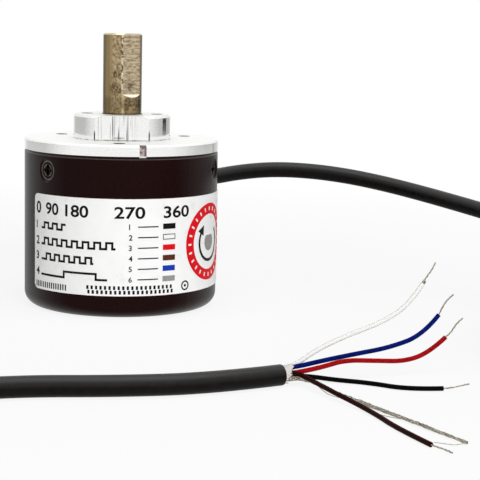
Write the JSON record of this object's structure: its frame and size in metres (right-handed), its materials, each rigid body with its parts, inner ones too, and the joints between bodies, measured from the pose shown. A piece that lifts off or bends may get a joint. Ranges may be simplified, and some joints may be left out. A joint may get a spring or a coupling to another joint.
{
  "type": "incremental rotary encoder",
  "caption": "Incremental rotary encoder: round black housing with a bright clamping flange, D-cut shaft and radial shielded cable with stripped wire ends, for measuring shaft angle and speed.",
  "frame": {"origin": "middle of the housing's base, on the shaft's axis, where the encoder stands on a table", "axes": "+Z along the shaft towards its free end; -Y is the front, towards the label and the flat on the boss"},
  "size_m": [0.1705, 0.1692, 0.056],
  "materials": {
    "housing_black": "satin",
    "flange_aluminium": "machined",
    "shaft_steel": "ground",
    "screw_steel": "blackened",
    "bearing_steel": "ground",
    "cage_brass": "stamped",
    "seal_rubber": "matte",
    "label_paper": "glossy film",
    "hub_brass": "turned",
    "disc_steel": "etched",
    "holder_plastic": "moulded",
    "clear_lens": "clear",
    "board_laminate": "solder mask",
    "chip_epoxy": "moulded",
    "can_aluminium": "drawn",
    "tinned_copper": "tinned",
    "jacket_black": "satin",
    "grommet_rubber": "moulded",
    "tie_nylon": "moulded",
    "wrap_tape": "translucent tape",
    "wire_white": "extruded",
    "wire_blue": "extruded",
    "wire_red": "extruded",
    "wire_black": "extruded",
    "wire_brown": "extruded"
  },
  "bodies": {
    "stator": {"housing": "housing_black", "housing_screws": "screw_steel", "label": "label_paper", "flange": "flange_aluminium", "o_ring": "seal_rubber", "shaft_seal": "seal_rubber", "bearing_spacer": "bearing_steel", "bore_retaining_ring": "bearing_steel", "front_bearing_outer_ring": "bearing_steel", "front_bearing_shields": "bearing_steel", "rear_bearing_outer_ring": "bearing_steel", "rear_bearing_shields": "bearing_steel", "emitter_holder": "holder_plastic", "holder_screws": "screw_steel", "emitter_led": "clear_lens", "emitter_leads": "tinned_copper", "collimator_lens": "clear_lens", "photodetector": "chip_epoxy", "reticle": "clear_lens", "circuit_board": "board_laminate", "board_standoffs": "hub_brass", "board_screws": "screw_steel", "line_driver_chip": "chip_epoxy", "comparator_chip": "chip_epoxy", "board_capacitors": "can_aluminium", "board_resistors": "chip_epoxy", "pigtail_wires": "wire_white", "crimp_ferrule": "tinned_copper", "cable_grommet": "grommet_rubber", "cable_lead": "jacket_black", "cable_tail": "jacket_black", "cable_coil": "jacket_black", "coil_ties": "tie_nylon", "core_wrap": "wrap_tape", "wire_white": "wire_white", "wire_blue": "wire_blue", "wire_red": "wire_red", "wire_black": "wire_black", "wire_brown": "wire_brown", "wire_tips": "tinned_copper", "shield_drain": "tinned_copper"},
    "rotor": {"shaft": "shaft_steel", "front_bearing_inner_ring": "bearing_steel", "rear_bearing_inner_ring": "bearing_steel", "disc_hub": "hub_brass", "hub_set_screws": "screw_steel", "code_disc": "disc_steel", "disc_clamp_ring": "hub_brass"},
    "front_ball_set": {"front_bearing_balls": "bearing_steel", "front_bearing_cage": "cage_brass"},
    "rear_ball_set": {"rear_bearing_balls": "bearing_steel", "rear_bearing_cage": "cage_brass"}
  },
  "joints": [
    {"name": "shaft_turn", "type": "hinge", "parent": "stator", "child": "rotor", "pos_m": [0, 0, 0.0345], "axis": [0, 0, 1], "continuous": true},
    {"name": "front_balls_roll", "type": "hinge", "parent": "stator", "child": "front_ball_set", "pos_m": [0, 0, 0.0352], "axis": [0, 0, 1], "continuous": true},
    {"name": "rear_balls_roll", "type": "hinge", "parent": "stator", "child": "rear_ball_set", "pos_m": [0, 0, 0.0272], "axis": [0, 0, 1], "continuous": true}
  ],
  "couplings": [
    {"joint": "front_balls_roll", "follows": "shaft_turn", "ratio": 0.42727},
    {"joint": "rear_balls_roll", "follows": "shaft_turn", "ratio": 0.42727}
  ]
}
